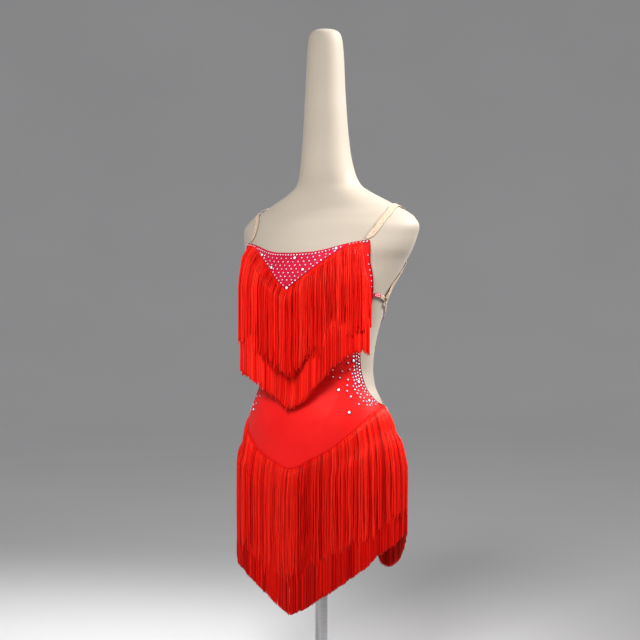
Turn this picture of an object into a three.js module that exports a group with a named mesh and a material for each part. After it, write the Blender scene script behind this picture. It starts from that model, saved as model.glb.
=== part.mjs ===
// Fringed dance dress on a limbless dress form, in millimetres.
// +Z is up, the front faces -Y and the wearer's left is +X. The origin is the middle of the
// foot plate's underside. An angle runs round the body: 0 at the centre front, positive
// towards the wearer's left, 180 at the centre back.
import * as THREE from 'three';

// ---------------------------------------------------------------- driving sizes
const HIP_HEIGHT = 400; // widest hips, below which cloth and fringe hang plumb
const FORM_BOTTOM = 268;
const SKIRT_BOTTOM = 292;
const TORSO_SIDES = 36;

const POLE = { radius: 12.5, flangeRadius: 48, flangeThickness: 6, hubRadius: 26, hubHeight: 34 };
const PLATE = { radius: 150, thickness: 10, bevel: 3 };
const GAP = 0.3; // between pieces that touch

const CLOTH = { inner: 1.7, outer: 3.2 }; // lifts of the dress's wall off the form
const OVERLAY = { inner: 4.1, outer: 5.2 }; // what is sewn flat on the wall
const TAPE = { inner: 4.1, outer: 5.6, width: 8 }; // fringe header tapes

const SHOULDER_STRAP = { width: 12, thickness: 1.2, lift: 2.1 };
const BACK_STRAP = { width: 6, thickness: 1.2, lift: 2.1 };
const SIDE_LOOP = { width: 8, thickness: 1.2, lift: 2.3 };
const CROSSING_LIFT = 2.1; // one strap rises this much where it crosses the other
const SEWN_LIFT = 2.2; // a strap's end rises this much onto the loop that it is sewn to

const ARMHOLE_MARGIN = 5; // degrees between the upper bust tape and the armhole's edge
const WALL_TILT = 9; // the hip line is this much higher at the wearer's left side
const BUST_TILT = 7;

// ---------------------------------------------------------------- tables
// The dress form's level sections: half width, depth in front of and behind the section's
// middle, and the middle's place in Y.
const FORM = [
  { z: 268, half: 150, front: 107, back: 108, middle: 2 },
  { z: 296, half: 157, front: 111, back: 113, middle: 2 },
  { z: 340, half: 163, front: 115, back: 117, middle: 1 },
  { z: 400, half: 164, front: 116, back: 117, middle: 0 },
  { z: 440, half: 159, front: 113, back: 112, middle: -3 },
  { z: 476, half: 152, front: 110, back: 105, middle: -7 },
  { z: 500, half: 147, front: 107, back: 100, middle: -9 },
  { z: 520, half: 140, front: 103, back: 96, middle: -10 },
  { z: 544, half: 130, front: 96, back: 89, middle: -11 },
  { z: 568, half: 120, front: 91, back: 84, middle: -12 },
  { z: 600, half: 116, front: 88, back: 82, middle: -12 },
  { z: 632, half: 117, front: 91, back: 83, middle: -9 },
  { z: 676, half: 123, front: 100, back: 88, middle: -3 },
  { z: 712, half: 132, front: 119, back: 94, middle: 3 },
  { z: 748, half: 143, front: 138, back: 100, middle: 7 },
  { z: 780, half: 155, front: 141, back: 106, middle: 15 },
  { z: 812, half: 169, front: 138, back: 105, middle: 25 },
  { z: 836, half: 182, front: 130, back: 101, middle: 30 },
  { z: 860, half: 191, front: 118, back: 91, middle: 35 },
  { z: 880, half: 196, front: 105, back: 81, middle: 38 },
  { z: 900, half: 184, front: 90, back: 69, middle: 41 },
  { z: 918, half: 155, front: 77, back: 59, middle: 42 },
  { z: 936, half: 120, front: 68, back: 51, middle: 40 },
  { z: 950, half: 93, front: 63, back: 50, middle: 37 },
  { z: 966, half: 69, front: 59, back: 52, middle: 32 },
  { z: 990, half: 57, front: 56, back: 53, middle: 26 },
  { z: 1036, half: 49, front: 49, back: 48, middle: 20 },
  { z: 1140, half: 41, front: 42, back: 41, middle: 17 },
  { z: 1250, half: 35, front: 36, back: 35, middle: 17 },
  { z: 1268, half: 31, front: 32, back: 31, middle: 17 },
  { z: 1277, half: 22, front: 23, back: 22, middle: 17 },
  { z: 1280, half: 8, front: 8, back: 8, middle: 17 },
];

const NECKLINE = [
  { angle: 0, z: 826 },
  { angle: 12, z: 827.5 },
  { angle: 20, z: 831.5 },
  { angle: 27, z: 838 },
  { angle: 34, z: 844 },
  { angle: 41, z: 848.5 },
  { angle: 47, z: 850 },
];

// The side edge from the strap down round the cut-out to the low back.
const CUT_OUT_EDGE = [
  { step: 0, angle: 47, z: 850 },
  { step: 1, angle: 56, z: 808 },
  { step: 2, angle: 62.5, z: 786 },
  { step: 3, angle: 67.5, z: 766 },
  { step: 4, angle: 71.5, z: 742 },
  { step: 5, angle: 73, z: 711 },
  { step: 6, angle: 70, z: 672 },
  { step: 7, angle: 69, z: 634 },
  { step: 8, angle: 70.5, z: 606 },
  { step: 9, angle: 73, z: 580 },
  { step: 10, angle: 77.5, z: 550 },
  { step: 11, angle: 84, z: 531 },
  { step: 12, angle: 92, z: 523 },
  { step: 13, angle: 100, z: 519 },
];

// Where the front panel is joined to the skirt's base, with the first fringe.
const HIP_LINE = [
  { angle: 0, z: 409 },
  { angle: 5, z: 411.5 },
  { angle: 12, z: 421.5 },
  { angle: 22, z: 434 },
  { angle: 32, z: 447.5 },
  { angle: 42, z: 465 },
  { angle: 52.5, z: 482 },
  { angle: 69, z: 504.5 },
  { angle: 85, z: 515.5 },
  { angle: 100, z: 519 },
];

const LOW_BACK_EDGE = [
  { angle: 100, z: 519 },
  { angle: 115, z: 512 },
  { angle: 135, z: 495 },
  { angle: 155, z: 480 },
  { angle: 180, z: 473 },
];

const YOKE_EDGE = [
  { angle: 0, z: 754 },
  { angle: 7, z: 769 },
  { angle: 13.5, z: 786 },
  { angle: 19, z: 801 },
  { angle: 25, z: 817 },
  { angle: 30, z: 831 },
  { angle: 35, z: 846 },
  { angle: 40, z: 862 },
];

const BUST_TAPE_LOWER = [
  { angle: 0, z: 680 },
  { angle: 12, z: 695 },
  { angle: 21, z: 716 },
  { angle: 33, z: 738 },
  { angle: 42, z: 752 },
  { angle: 53, z: 757 },
  { angle: 62, z: 749 },
];

// How far the second skirt tape lies under the first.
const SKIRT_TAPE_DROP = [
  { angle: 0, drop: 44 },
  { angle: 38, drop: 47 },
  { angle: 60, drop: 53 },
  { angle: 77, drop: 58 },
  { angle: 180, drop: 58 },
];

const BUST_UPPER_HEM = [
  { angle: -66, z: 672 },
  { angle: -58, z: 668 },
  { angle: -35, z: 653 },
  { angle: -18, z: 628 },
  { angle: -5, z: 602 },
  { angle: 4, z: 592 },
  { angle: 11, z: 608 },
  { angle: 22, z: 639 },
  { angle: 33, z: 665 },
  { angle: 44, z: 679 },
  { angle: 54, z: 684 },
  { angle: 66, z: 684 },
];

const BUST_LOWER_HEM = [
  { angle: -62, z: 602 },
  { angle: -46, z: 591 },
  { angle: -35, z: 583 },
  { angle: -28, z: 574 },
  { angle: -22, z: 563 },
  { angle: -14, z: 549 },
  { angle: -6, z: 537 },
  { angle: 1, z: 529 },
  { angle: 8, z: 534 },
  { angle: 16, z: 548 },
  { angle: 22, z: 562 },
  { angle: 28, z: 580 },
  { angle: 40, z: 616 },
  { angle: 47, z: 632 },
  { angle: 54, z: 638 },
  { angle: 62, z: 629 },
];

const SKIRT_UPPER_HEM = [
  { angle: -100, z: 292 },
  { angle: -80, z: 272 },
  { angle: -58, z: 253 },
  { angle: -43, z: 246 },
  { angle: -26, z: 228 },
  { angle: -11, z: 209 },
  { angle: 1, z: 200 },
  { angle: 9, z: 211 },
  { angle: 21, z: 235 },
  { angle: 31, z: 248 },
  { angle: 42, z: 260 },
  { angle: 60, z: 276 },
  { angle: 76, z: 303 },
  { angle: 88, z: 313 },
  { angle: 100, z: 317 },
  { angle: 118, z: 310 },
  { angle: 140, z: 284 },
  { angle: 180, z: 268 },
  { angle: 220, z: 274 },
  { angle: 242, z: 286 },
  { angle: 260, z: 292 },
];

const SKIRT_LOWER_HEM = [
  { angle: -100, z: 258 },
  { angle: -80, z: 236 },
  { angle: -64, z: 214 },
  { angle: -45, z: 201 },
  { angle: -28, z: 180 },
  { angle: -14, z: 157 },
  { angle: 1, z: 127 },
  { angle: 10, z: 138 },
  { angle: 22, z: 161 },
  { angle: 34, z: 183 },
  { angle: 43, z: 200 },
  { angle: 57, z: 224 },
  { angle: 66, z: 243 },
  { angle: 85, z: 262 },
  { angle: 100, z: 276 },
  { angle: 110, z: 274 },
  { angle: 118, z: 258 },
  { angle: 130, z: 224 },
  { angle: 140, z: 204 },
  { angle: 148, z: 196 },
  { angle: 154, z: 198 },
  { angle: 161, z: 228 },
  { angle: 180, z: 238 },
  { angle: 215, z: 232 },
  { angle: 245, z: 244 },
  { angle: 260, z: 258 },
];

// A lock's form where it flares off its tape, half way down and at its tip: the lift of its
// middle, its thickness, and its width as a share of the locks' spacing.
const OUTER_LOCK = [
  { lift: 12, thickness: 4.6, share: 0.86 },
  { lift: 15, thickness: 5, share: 0.88 },
  { lift: 14.4, thickness: 1.8, share: 0.55 },
];
const INNER_LOCK = [
  { lift: 7.8, thickness: 3.4, share: 0.86 },
  { lift: 8.4, thickness: 4, share: 0.88 },
  { lift: 10, thickness: 1.8, share: 0.55 },
];
const ROOT_SHARE = 0.84;
const FLARE_DROP = 20; // where a lock stands clear of its tape

// Strap routes on the form, from the front corner over the shoulder and across the back.
// A route leans by its degrees of lean towards the wearer's left, on both sides.
const SHOULDER_ROUTE = [
  { angle: 43.6, z: 854.5, lean: 0.6 },
  { angle: 43.7, z: 866, lean: 3.2 },
  { angle: 44.4, z: 879, lean: 4.2 },
  { angle: 48.5, z: 893, lean: 4 },
  { angle: 58, z: 906, lean: 2.4 },
  { angle: 73, z: 917, lean: 0.8 },
  { angle: 90, z: 922 },
  { angle: 107, z: 917 },
  { angle: 124, z: 903 },
  { angle: 142, z: 887 },
  { angle: 160, z: 870 },
  { angle: 180, z: 854 },
  { angle: 204, z: 838 },
  { angle: 226, z: 824 },
  { angle: 244, z: 808 },
  { angle: 257, z: 784 },
  { angle: 265, z: 760 },
  { angle: 270, z: 738 },
];
const BACK_ROUTE = [
  { angle: 91, z: 733 },
  { angle: 110, z: 707 },
  { angle: 145, z: 662 },
  { angle: 180, z: 622 },
  { angle: 215, z: 579 },
  { angle: 236, z: 540 },
];
const BACK_STRAP_END = 246; // the angle where it meets the low back's edge
const LOOP_ROUTE = [
  { angle: 72.8, z: 746 },
  { angle: 83, z: 742 },
  { angle: 93, z: 734 },
];

// ---------------------------------------------------------------- curves through tables
/** A smooth curve that rises and falls only where the table's rows do. */
function curveThrough(rows, from, to) {
  const xs = rows.map((row) => row[from]);
  const ys = rows.map((row) => row[to]);
  const spans = xs.slice(1).map((x, i) => x - xs[i]);
  const rises = ys.slice(1).map((y, i) => (y - ys[i]) / spans[i]);
  const slopes = ys.map((_, i) => {
    if (i === 0) return rises[0];
    if (i === ys.length - 1) return rises[i - 1];
    if (rises[i - 1] * rises[i] <= 0) return 0;
    const before = 2 * spans[i] + spans[i - 1];
    const after = spans[i] + 2 * spans[i - 1];
    return (before + after) / (before / rises[i - 1] + after / rises[i]);
  });
  return (value) => {
    const x = THREE.MathUtils.clamp(value, xs[0], xs[xs.length - 1]);
    let i = 0;
    while (i < spans.length - 1 && x > xs[i + 1]) i += 1;
    const t = (x - xs[i]) / spans[i];
    const level = ys[i] * (1 + 2 * t) * (1 - t) ** 2 + ys[i + 1] * t * t * (3 - 2 * t);
    return level + spans[i] * (slopes[i] * t * (1 - t) ** 2 - slopes[i + 1] * t * t * (1 - t));
  };
}

/** A curve over the angle that is the same on both sides, tilted by `tilt` at the sides. */
function levelRound(rows, tilt) {
  const right = curveThrough(rows, 'angle', 'z');
  return (angle) => right(Math.abs(wrapped(angle))) + tilt * sine(angle);
}

const sine = (angle) => Math.sin(THREE.MathUtils.degToRad(angle));
const cosine = (angle) => Math.cos(THREE.MathUtils.degToRad(angle));
const wrapped = (angle) => THREE.MathUtils.euclideanModulo(angle + 180, 360) - 180;

const form = {
  half: curveThrough(FORM, 'z', 'half'),
  front: curveThrough(FORM, 'z', 'front'),
  back: curveThrough(FORM, 'z', 'back'),
  middle: curveThrough(FORM, 'z', 'middle'),
};

const neckline = levelRound(NECKLINE, 0);
const yokeEdge = levelRound(YOKE_EDGE, 0);
const hipLine = levelRound(HIP_LINE, WALL_TILT);
const lowBackEdge = levelRound(LOW_BACK_EDGE, WALL_TILT);
const bustTapeLower = levelRound(BUST_TAPE_LOWER, BUST_TILT);
const armholeEdge = curveThrough(CUT_OUT_EDGE.slice(0, 5), 'angle', 'z');
const tapeDrop = curveThrough(SKIRT_TAPE_DROP, 'angle', 'drop');
const skirtUpperHem = curveThrough(SKIRT_UPPER_HEM, 'angle', 'z');
const skirtLowerHem = curveThrough(SKIRT_LOWER_HEM, 'angle', 'z');

/** The upper bust tape follows the yoke's V, then the neckline, then runs inside the armhole. */
function bustTapeUpper(angle) {
  const side = Math.abs(angle);
  return Math.min(yokeEdge(side), neckline(side), armholeEdge(side + ARMHOLE_MARGIN)) - 1.1;
}

const waistEdge = (angle) => (Math.abs(wrapped(angle)) < 100 ? hipLine(angle) : lowBackEdge(angle));
const skirtTapeLower = (angle) => waistEdge(angle) - tapeDrop(Math.abs(wrapped(angle)));

// ---------------------------------------------------------------- the form's surface
function formPoint(angle, z) {
  const depth = cosine(angle) >= 0 ? form.front(z) : form.back(z);
  return new THREE.Vector3(form.half(z) * sine(angle), form.middle(z) - depth * cosine(angle), z);
}

/** A point `lift` off the form, square to its surface. */
function offForm(angle, z, lift) {
  const round = formPoint(angle + 0.5, z).sub(formPoint(angle - 0.5, z));
  const up = formPoint(angle, z + 1).sub(formPoint(angle, z - 1));
  const outward = round.cross(up).normalize();
  return { point: formPoint(angle, z).addScaledVector(outward, lift), outward };
}

/** As offForm, but the cloth hangs plumb below the hips. */
function offHips(angle, z, lift) {
  const { point } = offForm(angle, Math.max(z, HIP_HEIGHT), lift);
  return new THREE.Vector3(point.x, point.y, z);
}

/** A point of something that hangs from `top`: pushed out by the body, else plumb. */
function hanging(angle, z, top, lift) {
  const start = offForm(angle, top, lift);
  const outward = new THREE.Vector3(start.outward.x, start.outward.y, 0).normalize();
  const samples = Math.max(1, Math.ceil((top - z) / 10));
  let reach = 0;
  for (let i = 1; i <= samples; i += 1) {
    const level = Math.max(top - ((top - z) * i) / samples, HIP_HEIGHT);
    const away = offForm(angle, level, lift).point.sub(start.point);
    reach = Math.max(reach, away.dot(outward));
  }
  const point = start.point.clone().addScaledVector(outward, reach);
  point.z = z;
  return { point, outward };
}

// ---------------------------------------------------------------- closed solids
function solidFrom(points, faces) {
  const geometry = new THREE.BufferGeometry();
  const flat = points.flatMap((point) => [point.x, point.y, point.z]);
  geometry.setAttribute('position', new THREE.Float32BufferAttribute(flat, 3));
  geometry.setIndex(faces.flat());
  return geometry;
}

/** Two faces over the corners of a quad, given anticlockwise from outside. */
const quad = (a, b, c, d) => [[a, b, c], [a, c, d]];

/** A closed tube through rings of equally many points, with flat ends. */
function ringSolid(rings) {
  const count = rings[0].length;
  const faces = [];
  for (let r = 0; r < rings.length - 1; r += 1) {
    for (let i = 0; i < count; i += 1) {
      const next = (i + 1) % count;
      const low = r * count;
      const high = low + count;
      faces.push(...quad(low + i, low + next, high + next, high + i));
    }
  }
  const last = (rings.length - 1) * count;
  for (let i = 1; i < count - 1; i += 1) {
    faces.push([0, i + 1, i]);
    faces.push([last, last + i, last + i + 1]);
  }
  return solidFrom(rings.flat(), faces);
}

/** A wall over a grid: place(u, v, outside) for u across and v down, both 0 to 1. */
function wallSolid(place, across, down) {
  const points = [];
  for (const outside of [true, false]) {
    for (let v = 0; v <= down; v += 1) {
      for (let u = 0; u <= across; u += 1) points.push(place(u / across, v / down, outside));
    }
  }
  const layer = (across + 1) * (down + 1);
  const outer = (u, v) => v * (across + 1) + u;
  const inner = (u, v) => layer + outer(u, v);
  const faces = [];
  for (let v = 0; v < down; v += 1) {
    for (let u = 0; u < across; u += 1) {
      faces.push(...quad(outer(u, v + 1), outer(u + 1, v + 1), outer(u + 1, v), outer(u, v)));
      faces.push(...quad(inner(u, v), inner(u + 1, v), inner(u + 1, v + 1), inner(u, v + 1)));
    }
  }
  for (let u = 0; u < across; u += 1) {
    faces.push(...quad(outer(u, 0), outer(u + 1, 0), inner(u + 1, 0), inner(u, 0)));
    faces.push(...quad(outer(u + 1, down), outer(u, down), inner(u, down), inner(u + 1, down)));
  }
  for (let v = 0; v < down; v += 1) {
    faces.push(...quad(outer(0, v + 1), outer(0, v), inner(0, v), inner(0, v + 1)));
    faces.push(...quad(outer(across, v), outer(across, v + 1), inner(across, v + 1), inner(across, v)));
  }
  return solidFrom(points, faces);
}

/** A band on the form between two heights that are functions of the angle. */
function bandSolid(from, to, topOf, bottomOf, lifts, across, down) {
  return wallSolid((u, v, outside) => {
    const angle = THREE.MathUtils.lerp(from, to, u);
    const z = THREE.MathUtils.lerp(topOf(angle), bottomOf(angle), v);
    return offHips(angle, z, outside ? lifts.outer : lifts.inner);
  }, across, down);
}

// ---------------------------------------------------------------- dress form and stand
function torsoGeometry() {
  const heights = [];
  for (let z = FORM_BOTTOM; z < 790; z += 29) heights.push(z);
  for (let z = 790; z < 880; z += 15) heights.push(z);
  FORM.filter((row) => row.z >= 880).forEach((row) => heights.push(row.z));
  const rings = heights.map((z) => {
    const ring = [];
    for (let i = 0; i < TORSO_SIDES; i += 1) ring.push(formPoint((360 * i) / TORSO_SIDES, z));
    return ring;
  });
  return ringSolid(rings);
}

function turned(outline, sides) {
  const profile = outline.map(([radius, z]) => new THREE.Vector2(radius, z));
  return new THREE.LatheGeometry(profile, sides).rotateX(Math.PI / 2);
}

function plateGeometry() {
  const { radius, thickness, bevel } = PLATE;
  const top = thickness + POLE.hubHeight;
  return turned([
    [0, 0],
    [radius, 0],
    [radius, thickness - bevel],
    [radius - bevel, thickness],
    [POLE.hubRadius, thickness],
    [POLE.hubRadius, top - bevel],
    [POLE.hubRadius - bevel, top],
    [0, top],
  ], 36);
}

function poleGeometry() {
  const bottom = PLATE.thickness + POLE.hubHeight + GAP;
  const top = FORM_BOTTOM - GAP;
  return turned([
    [0, bottom],
    [POLE.radius, bottom],
    [POLE.radius, top - POLE.flangeThickness],
    [POLE.flangeRadius, top - POLE.flangeThickness],
    [POLE.flangeRadius, top],
    [0, top],
  ], 18);
}

// ---------------------------------------------------------------- cloth pieces
const edgeAngle = curveThrough(CUT_OUT_EDGE, 'step', 'angle');
const edgeHeight = curveThrough(CUT_OUT_EDGE, 'step', 'z');
const EDGE_STEPS = CUT_OUT_EDGE.length - 1;
const HALF_NECKLINE = 47;
const HALF_HIP_LINE = 100;
const CHEST_ROWS = 1.25; // over 1, the panel's rows lie closer together on the curved chest

/** The side edge at v, with the tilt of the hip line worked in below the waist. */
function sideEdge(side, v) {
  const z = edgeHeight(v * EDGE_STEPS);
  const angle = side * edgeAngle(v * EDGE_STEPS);
  const low = 1 - THREE.MathUtils.smoothstep(z, 530, 640);
  return { angle, z: z + low * WALL_TILT * sine(angle) };
}

/** The front panel fills the outline of neckline, two cut-out edges and hip line. */
function frontPanelGeometry() {
  const place = (u, rowShare, outside) => {
    const v = rowShare ** CHEST_ROWS;
    const side = 2 * u - 1;
    const top = { angle: side * HALF_NECKLINE, z: neckline(side * HALF_NECKLINE) };
    const bottom = { angle: side * HALF_HIP_LINE, z: hipLine(side * HALF_HIP_LINE) };
    const right = sideEdge(-1, v);
    const left = sideEdge(1, v);
    const filled = (key) => {
      const corners = (1 - u) * ((1 - v) * sideEdge(-1, 0)[key] + v * sideEdge(-1, 1)[key])
        + u * ((1 - v) * sideEdge(1, 0)[key] + v * sideEdge(1, 1)[key]);
      return (1 - v) * top[key] + v * bottom[key] + (1 - u) * right[key] + u * left[key] - corners;
    };
    return offHips(filled('angle'), filled('z'), outside ? CLOTH.outer : CLOTH.inner);
  };
  return wallSolid(place, 24, 22);
}

function skirtGeometry(from, to, across) {
  return bandSolid(from, to, (angle) => waistEdge(angle) - 0.5, () => SKIRT_BOTTOM, CLOTH, across, 9);
}

function yokeGeometry() {
  return bandSolid(-33.5, 33.5, (angle) => neckline(angle) - 0.6, yokeEdge, OVERLAY, 20, 4);
}

function lowBackBandGeometry() {
  const top = (angle) => lowBackEdge(angle) - 0.8;
  const bottom = (angle) => lowBackEdge(angle) - 7;
  return bandSolid(101, 259, top, bottom, OVERLAY, 20, 1);
}

/** A flat strap along a route on the form; rise(share) lifts it along its way. */
function strapGeometry(route, side, { width, thickness, lift }, steps, rise) {
  const shares = route.map((row, i) => ({ lean: 0, ...row, share: i / (route.length - 1) }));
  const angleAt = curveThrough(shares, 'share', 'angle');
  const leanAt = curveThrough(shares, 'share', 'lean');
  const heightAt = curveThrough(shares, 'share', 'z');
  const at = (share) => {
    const angle = angleAt(share);
    return offForm(side * angle + leanAt(share), heightAt(share), lift + rise(share, angle));
  };
  const rings = [];
  for (let i = 0; i <= steps; i += 1) {
    const share = i / steps;
    const { point, outward } = at(share);
    const along = at(Math.min(1, share + 0.01)).point.sub(at(Math.max(0, share - 0.01)).point).normalize();
    const across = new THREE.Vector3().crossVectors(outward, along).normalize();
    const corner = (a, o) => point.clone()
      .addScaledVector(across, (a * width) / 2)
      .addScaledVector(outward, (o * thickness) / 2);
    rings.push([corner(-1, -1), corner(1, -1), corner(1, 1), corner(-1, 1)]);
  }
  return ringSolid(rings);
}

/** How far one strap rises over the other at the centre back. */
function overCrossing(angle, half) {
  return CROSSING_LIFT * (1 - THREE.MathUtils.smoothstep(Math.abs(angle - 180), half, half + 14));
}

const ontoLoop = (share) => SEWN_LIFT * THREE.MathUtils.smoothstep(share, 0.93, 0.965);

function shoulderStrapGeometry(side) {
  const rise = (share, angle) => ontoLoop(share) + (side > 0 ? overCrossing(angle, 12) : 0);
  return strapGeometry(SHOULDER_ROUTE, side, SHOULDER_STRAP, 44, rise);
}

function backStrapGeometry(side) {
  const offLoop = (share) => SEWN_LIFT * (1 - THREE.MathUtils.smoothstep(share, 0.02, 0.07));
  const rise = (share, angle) => offLoop(share) + (side > 0 ? overCrossing(angle, 6) : 0);
  const end = { angle: BACK_STRAP_END, z: lowBackEdge(side * BACK_STRAP_END) + 3.5 };
  return strapGeometry([...BACK_ROUTE, end], side, BACK_STRAP, 22, rise);
}

const sideLoopGeometry = (side) => strapGeometry(LOOP_ROUTE, side, SIDE_LOOP, 5, () => 0);

// ---------------------------------------------------------------- fringe
/** Gives the angle at a share of the way along a level line round the hips or bust. */
function evenly(from, to, level) {
  const fine = 400;
  const lengths = [0];
  for (let i = 1; i <= fine; i += 1) {
    const before = formPoint(THREE.MathUtils.lerp(from, to, (i - 1) / fine), level);
    const here = formPoint(THREE.MathUtils.lerp(from, to, i / fine), level);
    lengths.push(lengths[i - 1] + here.distanceTo(before));
  }
  const length = lengths[fine];
  const angleAt = (share) => {
    const i = Math.max(1, lengths.findIndex((reached) => reached >= share * length));
    const past = (share * length - lengths[i - 1]) / (lengths[i] - lengths[i - 1]);
    return THREE.MathUtils.lerp(from, to, (i - 1 + past) / fine);
  };
  return { length, angleAt };
}

/** The three-cornered rings of one lock, from its flare down: ridge, right and left corner. */
function lockRings(angle, top, bottom, spacing, level, table) {
  const length = top - bottom;
  const middle = top - level > 1.5 * FLARE_DROP ? top - level : 0.5 * length;
  return [FLARE_DROP, middle, length].map((drop, i) => {
    const { lift, thickness, share } = table[i];
    const { point, outward } = hanging(angle, top - drop, top, lift);
    const across = new THREE.Vector3(-outward.y, outward.x, 0);
    const corner = (a, o) => point.clone()
      .addScaledVector(across, (a * share * spacing) / 2)
      .addScaledVector(outward, (o * thickness) / 2);
    return [corner(0, 1), corner(1, -1), corner(-1, -1)];
  });
}

/** A header tape with locks that grow out of its lower edge, as one closed piece. */
function fringeGeometry({ from, to, count, level, tapeTop, hem, table, ragged }) {
  const { length, angleAt } = evenly(from, to, level);
  const spacing = length / count;
  const tapeBottom = (angle) => tapeTop(angle) - TAPE.width;
  const points = [];
  const faces = [];

  /** Four corners of the tape's section: top inner, top outer, low outer, low inner. */
  const addStation = (angle) => {
    const first = points.length;
    points.push(offHips(angle, tapeTop(angle), TAPE.inner), offHips(angle, tapeTop(angle), TAPE.outer));
    points.push(offHips(angle, tapeBottom(angle), TAPE.outer), offHips(angle, tapeBottom(angle), TAPE.inner));
    return [first, first + 1, first + 2, first + 3];
  };
  const joinStations = (a, b, closeBelow) => {
    faces.push(...quad(a[2], b[2], b[1], a[1]), ...quad(a[3], a[0], b[0], b[3]));
    faces.push(...quad(a[1], b[1], b[0], a[0]));
    if (closeBelow) faces.push(...quad(a[2], a[3], b[3], b[2]));
  };
  const addLock = (a, b, rings) => {
    let [ridge, right, left] = [0, 1, 2].map((corner) => points.length + corner);
    points.push(...rings[0]);
    faces.push([ridge, b[2], a[2]], ...quad(right, b[3], b[2], ridge));
    faces.push(...quad(left, ridge, a[2], a[3]), ...quad(left, a[3], b[3], right));
    for (const ring of rings.slice(1)) {
      const [lowRidge, lowRight, lowLeft] = [0, 1, 2].map((corner) => points.length + corner);
      points.push(...ring);
      faces.push(...quad(lowRight, right, ridge, lowRidge), ...quad(lowLeft, lowRidge, ridge, left));
      faces.push(...quad(lowLeft, left, right, lowRight));
      [ridge, right, left] = [lowRidge, lowRight, lowLeft];
    }
    faces.push([ridge, left, right]);
  };

  const start = addStation(from);
  let last = start;
  for (let lock = 0; lock < count; lock += 1) {
    const angle = angleAt((lock + 0.5) / count);
    const left = addStation(angleAt((lock + 0.5 - ROOT_SHARE / 2) / count));
    const right = addStation(angleAt((lock + 0.5 + ROOT_SHARE / 2) / count));
    const uneven = ragged * (Math.sin(2.4 * lock) + 0.6 * Math.sin(5.1 * lock));
    joinStations(last, left, true);
    joinStations(left, right, false);
    const rings = lockRings(angle, tapeBottom(angle), hem(angle) + uneven, spacing, level, table);
    addLock(left, right, rings);
    last = right;
  }
  const end = addStation(to);
  joinStations(last, end, true);
  faces.push(...quad(start[2], start[1], start[0], start[3]), ...quad(end[2], end[3], end[0], end[1]));
  return solidFrom(points, faces);
}

const BUST_LEVEL = 758; // just under the fullest bust
const HIP_LEVEL = 412; // where the skirt's locks start to hang plumb

const FRINGES = {
  bust_fringe_upper: {
    from: -66, to: 66, count: 36, level: BUST_LEVEL, ragged: 3, table: OUTER_LOCK,
    tapeTop: bustTapeUpper, hem: curveThrough(BUST_UPPER_HEM, 'angle', 'z'),
  },
  bust_fringe_lower: {
    from: -61.5, to: 61.5, count: 32, level: BUST_LEVEL, ragged: 3, table: INNER_LOCK,
    tapeTop: bustTapeLower, hem: curveThrough(BUST_LOWER_HEM, 'angle', 'z'),
  },
  skirt_fringe_upper_front: {
    from: -99.5, to: 99.5, count: 36, level: HIP_LEVEL, ragged: 4, table: OUTER_LOCK,
    tapeTop: (angle) => hipLine(angle) - 1, hem: skirtUpperHem,
  },
  skirt_fringe_upper_back: {
    from: 100.8, to: 259.2, count: 28, level: HIP_LEVEL, ragged: 4, table: OUTER_LOCK,
    tapeTop: (angle) => lowBackEdge(angle) - 7.5, hem: skirtUpperHem,
  },
  skirt_fringe_lower_front: {
    from: -99.5, to: 99.5, count: 36, level: HIP_LEVEL, ragged: 5, table: INNER_LOCK,
    tapeTop: skirtTapeLower, hem: skirtLowerHem,
  },
  skirt_fringe_lower_back: {
    from: 100.8, to: 259.2, count: 28, level: HIP_LEVEL, ragged: 5, table: INNER_LOCK,
    tapeTop: skirtTapeLower, hem: skirtLowerHem,
  },
};

// ---------------------------------------------------------------- materials and assembly
const MATERIALS = {
  formCover: { color: 0xe6dccb, roughness: 0.75, metalness: 0 },
  steel: { color: 0xb9bcc0, roughness: 0.3, metalness: 1 },
  satin: { color: 0xd8141a, roughness: 0.35, metalness: 0 },
  fringe: { color: 0xd01c18, roughness: 0.4, metalness: 0 },
  crystal: { color: 0xf0c4c0, roughness: 0.15, metalness: 0 },
  elastic: { color: 0xc79a78, roughness: 0.6, metalness: 0 },
};

const dress = new THREE.Group();

function addPiece(name, geometry, finish) {
  geometry.deleteAttribute('normal');
  geometry.deleteAttribute('uv');
  const mesh = new THREE.Mesh(geometry, new THREE.MeshStandardMaterial(MATERIALS[finish]));
  mesh.name = name;
  dress.add(mesh);
}

addPiece('form_torso', torsoGeometry(), 'formCover');
addPiece('form_pole', poleGeometry(), 'steel');
addPiece('form_base', plateGeometry(), 'steel');
addPiece('front_panel', frontPanelGeometry(), 'satin');
addPiece('skirt_front', skirtGeometry(-99.8, 99.8, 24), 'satin');
addPiece('skirt_back', skirtGeometry(100.2, 259.8, 20), 'satin');
addPiece('crystal_yoke', yokeGeometry(), 'crystal');
addPiece('low_back_band', lowBackBandGeometry(), 'crystal');
for (const [side, name] of [[1, 'left'], [-1, 'right']]) {
  addPiece(`shoulder_strap_${name}`, shoulderStrapGeometry(side), 'elastic');
  addPiece(`back_strap_${name}`, backStrapGeometry(side), 'elastic');
  addPiece(`side_loop_${name}`, sideLoopGeometry(side), 'satin');
}
for (const [name, sizes] of Object.entries(FRINGES)) {
  addPiece(name, fringeGeometry(sizes), 'fringe');
}

export default dress;
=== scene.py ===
"""A red fringed dance dress on a limbless dress form, dressed over its CAD frame.

Tables, sizes and places are in millimetres, as in the frame's source; meshes are in metres.
+Z is up, the front faces -Y and the wearer's left is +X. An angle runs round the body: 0 at
the centre front, positive towards the wearer's left, 180 at the centre back.
"""

import math

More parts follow.
